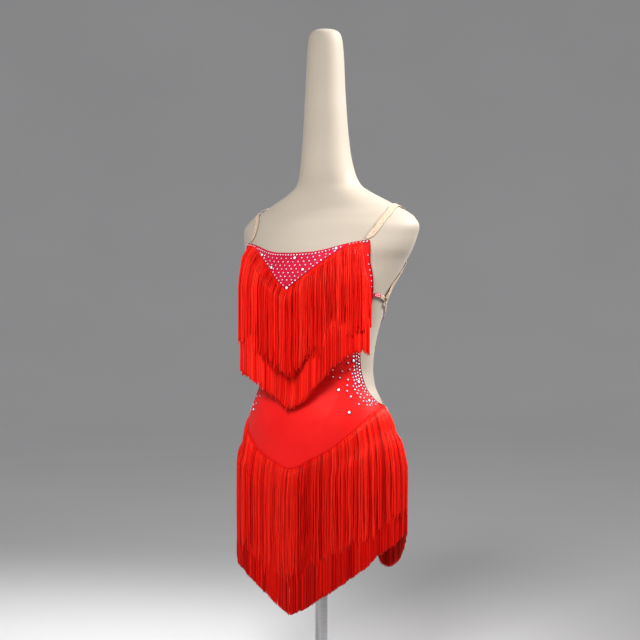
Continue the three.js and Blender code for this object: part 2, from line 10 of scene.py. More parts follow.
import bpy
import numpy as np
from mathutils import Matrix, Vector


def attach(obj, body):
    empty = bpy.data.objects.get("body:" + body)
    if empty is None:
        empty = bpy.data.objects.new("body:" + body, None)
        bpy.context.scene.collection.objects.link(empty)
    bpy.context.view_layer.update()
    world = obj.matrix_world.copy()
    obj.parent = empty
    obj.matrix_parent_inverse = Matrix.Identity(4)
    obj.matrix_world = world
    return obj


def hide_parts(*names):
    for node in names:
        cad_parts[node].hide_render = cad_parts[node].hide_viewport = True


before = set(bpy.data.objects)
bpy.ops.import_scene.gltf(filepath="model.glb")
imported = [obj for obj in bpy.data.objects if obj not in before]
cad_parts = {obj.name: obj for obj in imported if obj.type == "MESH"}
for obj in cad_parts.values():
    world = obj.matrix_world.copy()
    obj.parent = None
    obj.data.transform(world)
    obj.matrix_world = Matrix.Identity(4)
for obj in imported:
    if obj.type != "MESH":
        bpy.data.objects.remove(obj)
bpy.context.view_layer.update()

MM = 0.001
UP = (0, 0, 1)
SEED = 7
SIDES = ((1, "left"), (-1, "right"))  # the sign of the angles on each side

# ---- driving sizes
HIP_HEIGHT = 400  # widest hips, below which cloth and fringe hang plumb
BUST_LEVEL = 758  # where strands are evenly spaced round the bust
HIP_LEVEL = 412  # and round the hips
SKIRT_BOTTOM = 292
FORM_BOTTOM = 268
FORM_TOP = 1280
NECK_CORNER = 47  # the angle of the neckline's ends
SIDE_SEAM = 100  # the angle of the hip line's ends
YOKE_END = 33.5
ARMHOLE_MARGIN = 5  # degrees between the upper bust tape and the armhole's edge
WALL_TILT = 9  # the hip line is this much higher at the wearer's left side
BUST_TILT = 7

CLOTH = (1.8, 3.1)  # lifts of the dress's wall off the form, inside and outside
OVERLAY = (4.1, 5.2)  # what is sewn flat on the wall
TAPE = (4.1, 5.2)  # fringe header tapes
TAPE_WIDTH = 8

# Each kind of strap: width, thickness, lift off the form, points along it, stone spacing.
STRAPS = {
    "shoulder_strap": (12, 1.2, 2.1, 220, 11.5),
    "back_strap": (6, 1.2, 2.1, 150, 15),
    "side_loop": (8, 1.2, 2.3, 24, 3.8),
}
LOOP_COVER = 0.4  # of a side loop that is covered with satin and crystals
LOOP_LENGTH = 0.0476  # in metres
WEAVE = (0, 420, 0)  # waves round an elastic and along it
LOOP_STONES_ASIDE = 1.7  # of its two rows from its middle
CROSSING_LIFT = 2.1  # of the left strap over the right one
CROSSING_REACH = {"shoulder_strap": 12, "back_strap": 6}  # degrees from the centre back
SEWN_LIFT = 2.2
BACK_STRAP_END = 246  # the angle where a back strap meets the low back's edge

POLE_RADIUS = 12.5
POLE_FLANGE = (48, 6)  # radius, thickness
HUB = (26, 34)  # radius, height
PLATE = (150, 10, 3)  # radius, thickness, bevel
BORE = 4  # radius at which the turned outlines start and end
CHAMFER = 0.8  # of the pole's flange
GAP = 0.3
# Rings of the form's mesh, from the top down: first height, last height, count.
FORM_RINGS = ((FORM_TOP, 1264, 14), (1258, 980, 44), (976, 800, 74), (796, FORM_BOTTOM + 4, 110))
FORM_ROLL = ((0.995, 2.6), (0.985, 3.5), (0.96, 4))  # its lower edge: share of the outline, drop

STRAND_RADIUS = 0.72
LOWER_TIER_THICKNESS = 1.14
STRAND_SPACING = 1.46  # along the tape, in each row
STRAND_SIDES = 4
STRAND_POINTS = 14
STRAND_TIP = 0.6  # its radius there, as a share
TWIST_PITCH = 0.0026  # of a strand's yarn, in metres
TWIST_TURN = 2 * math.pi / 10  # a diagonal wave's period
FINE_STEPS = 4  # of the line that a strand's points are picked from
FLARE_DROP = 20  # where a strand stands clear of its tape
TUCKED = (62, 6)  # a lower tier comes forward from this far above the hem over it to this far below
LEDGE = 10  # from this far above the lower tape's top to as far below, an upper tier moves out
CLUMP = 5.2  # strands that cling together, along the tape
ROW_SHIFT = 1.9  # between the clumps of neighbouring rows
CUT_SHORT = (0.04, 16)  # share of the strands that are shorter, and by how much at most
STRAYS = (0.06, 3.2)  # share of the strands that stray aside, and how far
OUTER_ROWS = (10.4, 13.2, 16.0)  # lifts of the rows of an upper tier
INNER_ROWS = (6.2, 7.4, 8.6, 9.7)  # and of a lower tier
# Each fringe: its ends round the body, its hem's raggedness, its seed, its lightness from 0 to 1.
FRINGES = {
    "bust_fringe_upper": (-66, 66, 1.8, 1, 0.58),
    "bust_fringe_lower": (-61.5, 61.5, 0.9, 2, 0.58),
    "skirt_fringe_upper_front": (-99.5, 99.5, 2.3, 3, 0.58),
    "skirt_fringe_upper_back": (100.8, 259.2, 2.3, 4, 0.58),
    # The skirt's lower tiers are set darker than the upper ones as painted shade.
    "skirt_fringe_lower_front": (-99.5, 99.5, 0.4, 5, 0.34),
    "skirt_fringe_lower_back": (100.8, 259.2, 0.4, 6, 0.34),
}
BUST_FORWARD = 12  # how far a lower tier comes forward
SKIRT_FORWARD = 5.5


# ---- curves through tables
def curve(rows, column=1):
    """A smooth curve through a table's rows, that turns only where they do."""
    xs = np.array([row[0] for row in rows], float)
    ys = np.array([row[column] for row in rows], float)
    spans = np.diff(xs)
    rises = np.diff(ys) / spans
    slopes = np.zeros(len(xs))
    slopes[0], slopes[-1] = rises[0], rises[-1]
    for i in range(1, len(xs) - 1):
        if rises[i - 1] * rises[i] > 0:
            before = 2 * spans[i] + spans[i - 1]
            after = spans[i] + 2 * spans[i - 1]
            slopes[i] = (before + after) / (before / rises[i - 1] + after / rises[i])

    def at(value):
        x = np.clip(value, xs[0], xs[-1])
        i = np.clip(np.searchsorted(xs, x, side="right") - 1, 0, len(spans) - 1)
        t = (x - xs[i]) / spans[i]
        level = ys[i] * (1 + 2 * t) * (1 - t) ** 2 + ys[i + 1] * t * t * (3 - 2 * t)
        return level + spans[i] * (slopes[i] * t * (1 - t) ** 2 - slopes[i + 1] * t * t * (1 - t))

    return at


def wrapped(angle):
    return (np.asarray(angle, float) + 180) % 360 - 180


def sine(angle):
    return np.sin(np.radians(angle))


def cosine(angle):
    return np.cos(np.radians(angle))


def smoothstep(value, low, high):
    t = np.clip((value - low) / (high - low), 0, 1)
    return t * t * (3 - 2 * t)


def level_round(rows, tilt=0):
    """A height over the angle, alike on both sides but for a tilt."""
    right = curve(rows)
    return lambda angle: right(np.abs(wrapped(angle))) + tilt * sine(angle)


# ---- tables
# The dress form's level sections: height, half width, depth in front, depth behind, middle.
FORM = [
    (268, 150, 107, 108, 2), (296, 157, 111, 113, 2), (340, 163, 115, 117, 1), (400, 164, 116, 117, 0),
    (440, 159, 113, 112, -3), (476, 152, 110, 105, -7), (500, 147, 107, 100, -9),
    (520, 140, 103, 96, -10), (544, 130, 96, 89, -11), (568, 120, 91, 84, -12), (600, 116, 88, 82, -12),
    (632, 117, 91, 83, -9), (676, 123, 100, 88, -3), (712, 132, 119, 94, 3), (748, 143, 138, 100, 7),
    (780, 155, 141, 106, 15), (812, 169, 138, 105, 25), (836, 182, 130, 101, 30),
    (860, 191, 118, 91, 35), (880, 196, 105, 81, 38), (900, 184, 90, 69, 41), (918, 155, 77, 59, 42),
    (936, 120, 68, 51, 40), (950, 93, 63, 50, 37), (966, 69, 59, 52, 32), (990, 57, 56, 53, 26),
    (1036, 49, 49, 48, 20), (1140, 41, 42, 41, 17), (1250, 35, 36, 35, 17), (1268, 31, 32, 31, 17),
    (1277, 22, 23, 22, 17), (1280, 8, 8, 8, 17),
]

# Edges, tapes and hems: heights over the angle. The hems differ from side to side.
neckline = level_round([(0, 826), (12, 827.5), (20, 831.5), (27, 838), (34, 844), (41, 848.5), (47, 850)])
hip_line = level_round([
    (0, 409), (5, 411.5), (12, 421.5), (22, 434), (32, 447.5), (42, 465), (52.5, 482), (69, 504.5),
    (85, 515.5), (100, 519),
], WALL_TILT)
low_back_edge = level_round([(100, 519), (115, 512), (135, 495), (155, 480), (180, 473)], WALL_TILT)
yoke_edge = level_round([
    (0, 754), (7, 769), (13.5, 786), (19, 801), (25, 817), (30, 831), (35, 846), (40, 862),
])
bust_tape_lower = level_round([
    (0, 680), (12, 695), (21, 716), (33, 738), (42, 752), (53, 757), (62, 749),
], BUST_TILT)
tape_drop = curve([(0, 44), (38, 47), (60, 53), (77, 58), (180, 58)])
bust_upper_hem = curve([
    (-66, 672), (-58, 668), (-35, 653), (-18, 628), (-5, 602), (4, 592), (11, 608), (22, 639),
    (33, 665), (44, 679), (54, 684), (66, 684),
])
bust_lower_hem = curve([
    (-62, 602), (-46, 591), (-35, 583), (-28, 574), (-22, 563), (-14, 549), (-6, 537), (1, 529),
    (8, 534), (16, 548), (22, 562), (28, 580), (40, 616), (47, 632), (54, 638), (62, 629),
])
skirt_upper_hem = curve([
    (-100, 292), (-80, 272), (-58, 253), (-43, 246), (-26, 228), (-11, 209), (1, 200), (9, 211),
    (21, 235), (31, 248), (42, 260), (60, 276), (76, 303), (88, 313), (100, 317), (118, 310),
    (140, 284), (180, 268), (220, 274), (242, 286), (260, 292),
])
skirt_lower_hem = curve([
    (-100, 258), (-80, 236), (-64, 214), (-45, 201), (-28, 180), (-14, 157), (0, 129), (1, 127),
    (2, 128), (10, 138), (22, 161), (34, 183), (43, 200), (57, 224), (66, 243), (85, 262),
    (100, 276), (110, 274), (118, 258), (130, 224), (140, 204), (148, 196), (154, 198),
    (161, 228), (180, 238), (215, 232), (245, 244), (260, 258),
])

# The side edge from the strap down round the cut-out to the low back: angle, height.
CUT_OUT_EDGE = [
    (47, 850), (56, 808), (62.5, 786), (67.5, 766), (71.5, 742), (73, 711), (70, 672), (69, 634),
    (70.5, 606), (73, 580), (77.5, 550), (84, 531), (92, 523), (100, 519),
]

# Strap routes on the form, from the front corner over the shoulder and across the back: angle,
# height, and for some a lean in degrees towards the wearer's left, on both sides.
SHOULDER_ROUTE = [
    (43.6, 852.4, 0.6), (43.7, 866, 3.2), (44.4, 879, 4.2), (48.5, 893, 4), (58, 906, 2.4),
    (73, 917, 0.8), (90, 922, 0), (107, 917, 0), (124, 903, 0), (142, 887, 0), (160, 870, 0),
    (180, 854, 0), (204, 838, 0), (226, 824, 0), (244, 808, 0), (257, 784, 0), (265, 760, 0),
    (270, 738, 0),
]
BACK_ROUTE = [(91, 733), (110, 707), (145, 662), (180, 622), (215, 579), (236, 540)]
LOOP_ROUTE = [(72.8, 746), (83, 742), (93, 734)]

CREASE_FADE = 0.06  # of the panel's width and height, within which creases fade to its edges
# Soft creases pressed into the front panel: angle, height, slant from the vertical in degrees,
# half length, half width and depth.
PANEL_CREASES = [
    (14, 462, 62, 60, 9, 0.7), (-18, 470, -58, 66, 10, 0.7), (33, 520, 48, 52, 8, 0.8),
    (-36, 528, -50, 56, 8, 0.8), (52, 566, 36, 46, 7, 0.7), (-54, 570, -34, 46, 7, 0.7),
    (5, 560, 8, 70, 16, 0.6), (-8, 640, -6, 80, 14, 0.6), (24, 610, 18, 60, 11, 0.6),
    (-26, 600, -16, 58, 11, 0.6),
]

# Diameters of the stones.
SPARKLE = 5.4
EDGE_STONE = 3.7
SCATTERED_STONE = 3.5
YOKE_STONE = 3.2
NECKLINE_STONE = 3
SMALL_STONE = 2.8
BACK_STONE = 2.5

EDGE_SPACING = 6.2
EDGE_ROW_STEP = 5.4
EDGE_ROW_STARTS = (0, 0, 10, 75, 100)  # along the edge from the waist
EDGE_SHARES = np.linspace(0, 1, 260)  # points down the side edge
ARMHOLE_STONES = (0.05, 0.09, 0.13, 0.17, 0.21, 0.25, 0.35, 0.39, 0.43)  # places down the side edge
SCATTER_TRIES = 900
STITCH_SPACING = 3.6
STITCH_LENGTH = 2.6
SETTING_HEIGHT = 0.11  # of a stone's base, as a share of its diameter

# The largest stones, where the dress sparkles most: angle, height.
YOKE_SPARKLES = [(-25.5, 824), (-15, 798), (2.5, 816), (10.5, 793), (0.5, 758), (27.5, 834)]
SIDE_SPARKLES = [(61, 617), (67, 576), (74, 540), (43, 561), (49, 518)]

form_half, form_front, form_back, form_middle = (curve(FORM, column) for column in range(1, 5))
edge_steps = [(step, *row) for step, row in enumerate(CUT_OUT_EDGE)]
edge_angle = curve(edge_steps, 1)
edge_height = curve(edge_steps, 2)
armhole_edge = curve(CUT_OUT_EDGE[:5])


def bust_tape_upper(angle):
    """Along the yoke's V, then the neckline, then inside the armhole."""
    side = np.abs(angle)
    edge = np.minimum(neckline(side), armhole_edge(side + ARMHOLE_MARGIN))
    return np.minimum(yoke_edge(side), edge) - 1.1


def waist_edge(angle):
    return np.where(np.abs(wrapped(angle)) < SIDE_SEAM, hip_line(angle), low_back_edge(angle))


def skirt_tape_lower(angle):
    return waist_edge(angle) - tape_drop(np.abs(wrapped(angle)))


# ---- the form's surface
def stacked(x, y, z):
    return np.stack(np.broadcast_arrays(x, y, z), -1).astype(float)


def unit(vectors):
    return vectors / np.linalg.norm(vectors, axis=-1, keepdims=True)


def form_point(angle, z):
    depth = np.where(cosine(angle) >= 0, form_front(z), form_back(z))
    return stacked(form_half(z) * sine(angle), form_middle(z) - depth * cosine(angle), z)


def outward_at(angle, z):
    """The form's outward direction."""
    around = form_point(angle + 0.5, z) - form_point(angle - 0.5, z)
    up = form_point(angle, z + 1) - form_point(angle, z - 1)
    return unit(np.cross(around, up))


def off_form(angle, z, lift):
    """A point `lift` off the form, square to its surface."""
    lift = np.asarray(lift, float)[..., None]
    return form_point(angle, z) + lift * outward_at(angle, z)


def off_hips(angle, z, lift):
    """As off_form, but cloth hangs plumb below the hips."""
    point = off_form(angle, np.maximum(z, HIP_HEIGHT), lift)
    point[..., 2] = z
    return point


def lengths_along(points):
    """How far along its line each point lies."""
    steps = np.linalg.norm(np.diff(points, axis=-2), axis=-1)
    return np.concatenate([0 * steps[..., :1], np.cumsum(steps, axis=-1)], axis=-1)


def evenly(start, end, level):
    """The length of a level line round the form, and the angle at a share of it."""
    angles = np.linspace(start, end, 601)
    lengths = lengths_along(form_point(angles, level))
    return lengths[-1], lambda share: np.interp(np.asarray(share) * lengths[-1], lengths, angles)


# ---- meshes
def added(name, data):
    obj = bpy.data.objects.new(name, data)
    bpy.context.scene.collection.objects.link(obj)
    return obj


def mesh_object(name, points, *faces, smooth=True, uv=None, tone=None):
    """An object from points and groups of faces with equally many corners."""
    corners = np.concatenate([group.ravel() for group in faces]).astype(np.int32)
    sizes = np.concatenate([np.full(len(group), group.shape[1]) for group in faces])
    starts = (np.cumsum(sizes) - sizes).astype(np.int32)
    points = np.asarray(points, float).reshape(-1, 3)
    mesh = bpy.data.meshes.new(name)
    mesh.vertices.add(len(points))
    mesh.vertices.foreach_set("co", (points * MM).ravel())
    mesh.loops.add(len(corners))
    mesh.loops.foreach_set("vertex_index", corners)
    mesh.polygons.add(len(starts))
    mesh.polygons.foreach_set("loop_start", starts)
    mesh.update(calc_edges=True)
    mesh.polygons.foreach_set("use_smooth", np.full(len(starts), smooth))
    if uv is not None:
        layer = mesh.uv_layers.new(name="UVMap")
        layer.data.foreach_set("uv", np.asarray(uv, float).ravel())
    if tone is not None:
        layer = mesh.attributes.new("tone", "FLOAT", "POINT")
        layer.data.foreach_set("value", np.asarray(tone, float).ravel())
    return added(name, mesh)


def piece(obj, material, replaces=()):
    """Gives a piece its material, body and the CAD nodes that it stands for."""
    obj.data.materials.append(material)
    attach(obj, "root")
    if replaces:
        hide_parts(*replaces)
    return obj


def grid_quads(columns, rows, closed=False):
    """Faces over rows of points that run down, seen from outside."""
    across = np.arange(columns if closed else columns - 1)
    down = np.arange(rows - 1)[:, None]
    here = down * columns + across
    aside = down * columns + (across + 1) % columns
    return np.stack([here + columns, aside + columns, aside, here], -1).reshape(-1, 4)


def closed_stack(sides, count):
    """Faces of a stack of rings, closed at both ends."""
    ring = np.arange(sides)[None]
    return grid_quads(sides, count, closed=True)[:, ::-1], ring[:, ::-1], ring + (count - 1) * sides


def repeated(faces, count, size):
    """Groups of faces, for each of `count` copies of `size` points."""
    shift = (np.arange(count) * size)[:, None, None]
    return [(group[None] + shift).reshape(-1, group.shape[1]) for group in faces]


def tubes(name, lines, rings, tone=None):
    """Closed tubes with rings of points round lines. Their UV runs round and, in metres, along."""
    count, points, sides, _ = rings.shape
    lengths = lengths_along(lines) * MM
    side = np.tile(np.arange(sides), points - 1)[:, None] + (0, 1, 1, 0)
    row = np.repeat(np.arange(points - 1), sides)[:, None] + (0, 0, 1, 1)
    v = lengths[:, row]
    walls = np.stack([np.broadcast_to(side / sides, v.shape), v], -1).reshape(-1, 2)
    uv = np.concatenate([walls, np.zeros((2 * sides * count, 2))])
    faces = repeated(closed_stack(sides, points), count, points * sides)
    return mesh_object(name, rings, *faces, uv=uv, tone=tone)


def shell(name, place, across, down, lifts):
    """A thin closed wall; place(u, v, lift) gives its points for u across and v down."""
    u, v = np.meshgrid(np.linspace(0, 1, across + 1), np.linspace(0, 1, down + 1))
    outer = place(u, v, lifts[1]).reshape(-1, 3)
    inner = place(u, v, lifts[0]).reshape(-1, 3)
    layer = len(outer)
    quads = grid_quads(across + 1, down + 1)
    grid = np.arange(layer).reshape(down + 1, across + 1)
    rim = np.concatenate([grid[0, :-1], grid[:-1, -1], grid[-1, :0:-1], grid[:0:-1, 0]])
    after = np.roll(rim, -1)
    edge = np.stack([rim, after, after + layer, rim + layer], -1)
    return mesh_object(name, np.concatenate([outer, inner]), quads, quads[:, ::-1] + layer, edge)


def band_place(start, end, top, bottom):
    """The place of a band between two heights that are functions of the angle."""
    def place(u, v, lift):
        angle = start + (end - start) * u
        return off_hips(angle, top(angle) * (1 - v) + bottom(angle) * v, lift)

    return place


def swept(name, centre, outward, half_width, half_thickness, sides, flatness=2.0):
    """A tube with a rounded section along a line."""
    along = unit(np.gradient(centre, axis=0))
    across = unit(np.cross(outward, along))
    out = unit(np.cross(along, across))
    turn = 2 * np.pi * (np.arange(sides) + 0.5) / sides
    wide, thick = (np.sign(a) * np.abs(a) ** (2 / flatness) for a in (np.cos(turn), np.sin(turn)))
    half_width = np.broadcast_to(half_width, len(centre))[:, None, None]
    rings = centre[:, None] + half_width * wide[:, None] * across[:, None]
    rings += half_thickness * thick[:, None] * out[:, None]
    return tubes(name, centre[None], rings[None])


def line_on_form(angle, z, lift):
    """A line's points and outward directions on the hanging cloth."""
    return off_hips(angle, z, lift), outward_at(angle, np.maximum(z, HIP_HEIGHT))


def evenly_spaced(centre, outward, spacing):
    """A line resampled at even spacing, with its outward directions."""
    lengths = lengths_along(centre)
    count = max(2, int(lengths[-1] / spacing) + 1)
    want = np.linspace(0, lengths[-1], count)
    return [
        np.stack([np.interp(want, lengths, values[:, axis]) for axis in range(3)], -1)
        for values in (centre, outward)
    ]


def copies(name, template, faces, origins, frames, scales, tone=None):
    """One mesh of many small copies; frames hold each copy's three axes as rows."""
    points = template[None] * np.asarray(scales, float).reshape(-1, 1, 1)
    placed = np.einsum("npi,nij->npj", points, frames) + origins[:, None]
    groups = repeated(faces, len(origins), len(template))
    tones = None if tone is None else np.repeat(tone, len(template))
    return mesh_object(name, placed, *groups, smooth=False, tone=tones)


def joined(name, objects):
    """Joins mesh objects into one piece."""
    with bpy.context.temp_override(
        active_object=objects[0], selected_editable_objects=objects, selected_objects=objects
    ):
        bpy.ops.object.join()
    objects[0].name = name
    return objects[0]


# ---- materials
def fill(tree, node, inputs):
    """Sets a node's inputs to values, or links them to other nodes' outputs."""
    for key, value in inputs.items():
        if isinstance(value, bpy.types.NodeSocket):
            tree.links.new(value, node.inputs[key])
        else:
            node.inputs[key].default_value = value


def add_node(tree, kind, output, inputs=(), **settings):
    """A new node's output, or the node itself if no output is named."""
    node = tree.nodes.new("ShaderNode" + kind)
    for key, value in settings.items():
        setattr(node, key, value)
    fill(tree, node, dict(inputs))
    return node.outputs[output] if output else node


def shader_material(name, **sockets):
    """A new material; a socket named Sheen_Weight sets the shader's Sheen Weight."""
    material = bpy.data.materials.new(name)
    material.use_nodes = True
    tree = material.node_tree
    inputs = {key.replace("_", " "): value for key, value in sockets.items()}
    fill(tree, tree.nodes["Principled BSDF"], inputs)
    return material, tree


def finished(material, colour, roughness, *bumps):
    """Links a material's colour, roughness and bumps: (height output, strength, distance)."""
    tree = material.node_tree
    shader = tree.nodes["Principled BSDF"]
    fill(tree, shader, {"Base Color": colour, "Roughness": roughness})
    normal = {}
    for height, strength, distance in bumps:
        inputs = {"Height": height, "Strength": strength, "Distance": distance, **normal}
        normal = {"Normal": add_node(tree, "Bump", "Normal", inputs)}
    fill(tree, shader, normal)
    return material


def ramp(tree, source, *stops):
    """A colour ramp over a node's output."""
    node = add_node(tree, "ValToRGB", None, {"Fac": source})
    elements = node.color_ramp.elements
    while len(elements) < len(stops):
        elements.new(1)
    for element, (position, colour) in zip(elements, stops):
        element.position, element.color = position, (*colour, 1)
    return node.outputs["Color"]


def ranged(tree, source, low, high):
    return add_node(tree, "MapRange", "Result", {"Value": source, "To Min": low, "To Max": high})


def textured(tree, kind, output, scale, stretch=(1, 1, 1), space="Object", inputs=(), **settings):
    """A texture's output in object or UV space, stretched along its axes."""
    place = add_node(tree, "TexCoord", space)
    spot = add_node(tree, "Mapping", "Vector", {"Vector": place, "Scale": stretch})
    return add_node(tree, kind, output, {"Vector": spot, "Scale": scale, **dict(inputs)}, **settings)


def noise(tree, scale, detail, stretch=(1, 1, 1)):
    return textured(tree, "TexNoise", "Fac", scale, stretch, inputs={"Detail": detail})


def wave(tree, stretch, direction):
    """A wave in UV space; `stretch` sets its periods round and along."""
    return textured(tree, "TexWave", "Fac", 1, stretch, "UV", bands_direction=direction)


def knitted(name, cloud, stops, roughness, knit, drift, **sockets):
    """A fine knit with slightly uneven colour.

    `cloud` is a scale and a detail, `knit` a scale, an upright stretch and a bump strength, and
    `drift` a scale, a bump strength and a distance.
    """
    material, tree = shader_material(name, **sockets)
    clouds = noise(tree, *cloud)
    colour, rough = ramp(tree, clouds, *stops), ranged(tree, clouds, *roughness)
    loops = textured(tree, "TexVoronoi", "Distance", knit[0], (1, 1, knit[1]))
    swell = noise(tree, drift[0], 2)
    return finished(material, colour, rough, (swell, *drift[1:]), (loops, knit[2], 0.0003))


def satin(name, dark, light, roughness):
    """Stretch satin with a soft broad gloss."""
    return knitted(
        name, (14, 3), ((0.32, dark), (0.68, light)), (roughness - 0.05, roughness + 0.06),
        (1100, 0.55, 0.18), (45, 0.25, 0.0012),
        Sheen_Weight=0.04, Sheen_Roughness=0.45, Specular_IOR_Level=0.22,
        Sheen_Tint=(1.0, 0.2, 0.15, 1), Specular_Tint=(1.0, 0.3, 0.25, 1),
    )


def shaded(name, stops, roughness, twist, **sockets):
    """Coloured by the shade that each strand or stone has of its own; strands are twisted."""
    material, tree = shader_material(name, **sockets)
    own = add_node(tree, "Attribute", "Fac", attribute_name="tone")
    colour, rough = ramp(tree, own, *stops), ranged(tree, own, *roughness)
    bumps = [(wave(tree, twist, "DIAGONAL"), 0.35, 0.0002)] if twist else []
    return finished(material, colour, rough, *bumps)


def elastic(name, axis, far, stops, roughness, ribs, **sockets):
    """Woven elastic, coloured by how far round it (axis X) or along it (Y, up to `far`) one is."""
    material, tree = shader_material(name, **sockets)
    place = add_node(tree, "TexCoord", "UV")
    source = add_node(tree, "SeparateXYZ", axis, {"Vector": place})
    if far:
        source = add_node(tree, "MapRange", "Result", {"From Max": far, "Value": source})
    colour = ramp(tree, source, *stops)
    bumps = [(wave(tree, ribs, "X"), 0.3, 0.0004)] if ribs else []
    weave = wave(tree, WEAVE, "Y")
    rough = ranged(tree, weave, *roughness)
    return finished(material, colour, rough, *bumps, (weave, 0.3, 0.0003))


def steel_material():
    """Brushed steel, with its brushing round the stand's axis."""
    material, tree = shader_material("brushed_steel", Metallic=1.0)
    brush = noise(tree, 60, 4, (1, 1, 14))
    colour = ramp(tree, brush, (0.3, (0.50, 0.50, 0.51)), (0.7, (0.64, 0.64, 0.65)))
    return finished(material, colour, ranged(tree, brush, 0.26, 0.4), (brush, 0.12, 0.0003))


def floor_material():
    material, tree = shader_material("pale_floor", Roughness=0.8)
    cloud = noise(tree, 0.8, 2)
    colour = ramp(tree, cloud, (0.3, (0.74, 0.74, 0.745)), (0.7, (0.77, 0.77, 0.775)))
    fill(tree, tree.nodes["Principled BSDF"], {"Base Color": colour})
    return material


SATIN, DARK_SATIN, STONE_BACKING_AND_SHADE, YOKE_NET, THREAD = (
    satin(*row) for row in (
        ("red_satin", (0.77, 0.009, 0.009), (0.83, 0.013, 0.013), 0.46),
        ("deep_red_satin", (0.26, 0.002, 0.008), (0.34, 0.004, 0.014), 0.4),
        # the maroon backing under the stones is partly painted shade
        ("maroon_backing_and_shade", (0.09, 0.001, 0.012), (0.13, 0.002, 0.018), 0.5),
        ("crimson_net", (0.46, 0.006, 0.030), (0.58, 0.010, 0.045), 0.5),
        ("red_thread", (0.66, 0.006, 0.006), (0.80, 0.012, 0.012), 0.5),
    )
)
FRINGE = shaded(
    "rayon_fringe",
    ((0.0, (0.40, 0.0015, 0.0015)), (0.5, (0.80, 0.006, 0.004)), (1.0, (0.98, 0.03, 0.016))),
    (0.42, 0.30), (TWIST_TURN, TWIST_TURN / TWIST_PITCH, 1),
    Specular_IOR_Level=0.3, Specular_Tint=(1.0, 0.25, 0.15, 1),
)
JERSEY = knitted(
    "form_jersey", (6, 4), ((0.3, (0.38, 0.325, 0.262)), (0.7, (0.42, 0.36, 0.292))), (0.5, 0.62),
    (800, 0.6, 0.14), (30, 0.12, 0.001),
    Sheen_Weight=0.12, Sheen_Roughness=0.5, Specular_IOR_Level=0.2,
)
# Nude elastic with painted shadow along its edges, and one whose first part is covered with satin.
PAINTED_EDGE_SHADOW, NUDE = (0.13, 0.055, 0.03), (0.50, 0.38, 0.26)
ELASTIC = elastic(
    "nude_elastic", "X", None,
    (
        (0.0, PAINTED_EDGE_SHADOW), (0.05, NUDE), (0.45, NUDE), (0.5, PAINTED_EDGE_SHADOW), (0.55, NUDE), (0.95, NUDE),
        (1.0, PAINTED_EDGE_SHADOW),
    ),
    (0.4, 0.55), (11, 0, 0), Sheen_Weight=0.1, Sheen_Roughness=0.4, Specular_IOR_Level=0.3,
)
CRIMSON, PALE_NUDE = (0.50, 0.008, 0.036), (0.54, 0.42, 0.30)
LOOP_BAND = elastic(
    "side_loop_elastic", "Y", LOOP_LENGTH,
    ((0.0, CRIMSON), (LOOP_COVER + 0.02, CRIMSON), (LOOP_COVER + 0.05, PALE_NUDE)),
    (0.42, 0.56), None, Specular_IOR_Level=0.25, Sheen_Weight=0.06, Sheen_Roughness=0.4,
)
# Crystals from pink to lilac; the largest are nearly white as a painted highlight for their glints.
CRYSTAL = shaded(  # from pink to lilac, and the largest nearly white
    "ab_crystal",
    (
        (0.0, (0.98, 0.36, 0.46)), (0.4, (1.0, 0.54, 0.62)), (0.7, (0.92, 0.50, 0.76)),
        (1.0, (1.0, 0.95, 0.96)),
    ),
    (0.04, 0.12), None, Specular_IOR_Level=1.0, Coat_Weight=1.0, Coat_Roughness=0.02,
)
STEEL = steel_material()


# ---- dress form and stand
def clockwise(sides):
    return -np.arange(sides) * 360 / sides


def ringed(name, rings):
    """A closed body from rings of points, from its top to its bottom."""
    return mesh_object(name, rings, *closed_stack(rings.shape[1], len(rings)))


def form_body():
    """The smooth limbless form, with a closed top and a rolled lower edge."""
    heights = np.concatenate([np.linspace(*rows) for rows in FORM_RINGS])
    angles = clockwise(144)
    rings = form_point(angles[None], heights[:, None])
    middle = np.array([0, form_middle(FORM_BOTTOM)])
    for share, drop in FORM_ROLL:
        ring = form_point(angles, FORM_BOTTOM + 4.0)
        ring[:, :2] = middle + (ring[:, :2] - middle) * share
        ring[:, 2] -= drop
        rings = np.concatenate([rings, ring[None]])
    piece(ringed("form_body", rings), JERSEY, ["form_torso"])


def lathed(name, outline, sides=96):
    """A turned piece from its outline of (radius, height), from its top to its bottom."""
    radius, height = np.array(outline, float).T[..., None]
    angles = clockwise(sides)
    obj = ringed(name, stacked(radius * sine(angles), -radius * cosine(angles), height))
    bevel = obj.modifiers.new("bevel", "BEVEL")
    bevel.width = 0.8 * MM
    bevel.segments = 2
    bevel.limit_method = "ANGLE"
    obj.data.shade_smooth()
    obj.modifiers.new("normals", "WEIGHTED_NORMAL").keep_sharp = True
    return obj


def stand():
    radius, thickness, bevel = PLATE
    hub_radius, hub_height = HUB
    top = thickness + hub_height
    plate = lathed("stand_plate", [
        (BORE, top), (hub_radius - bevel, top), (hub_radius - 0.9, top - 0.9),
        (hub_radius, top - bevel), (hub_radius, thickness + 2), (hub_radius + 2, thickness),
        (radius - bevel, thickness), (radius - 0.9, thickness - 0.9), (radius, thickness - bevel),
        (radius, 0.6), (radius - 0.6, 0), (BORE, 0),
    ])
    piece(plate, STEEL, ["form_base"])
    flange_radius, flange_thickness = POLE_FLANGE
    high = FORM_BOTTOM - GAP
    under = high - flange_thickness
    pole = lathed("stand_pole", [
        (BORE, high), (flange_radius - CHAMFER, high), (flange_radius, high - CHAMFER),
        (flange_radius, under + CHAMFER), (flange_radius - CHAMFER, under), (POLE_RADIUS + 3, under),
        (POLE_RADIUS, under - 3), (POLE_RADIUS, 200), (POLE_RADIUS, 120), (POLE_RADIUS, top + GAP),
        (BORE, top + GAP),
    ], 64)
    piece(pole, STEEL, ["form_pole"])


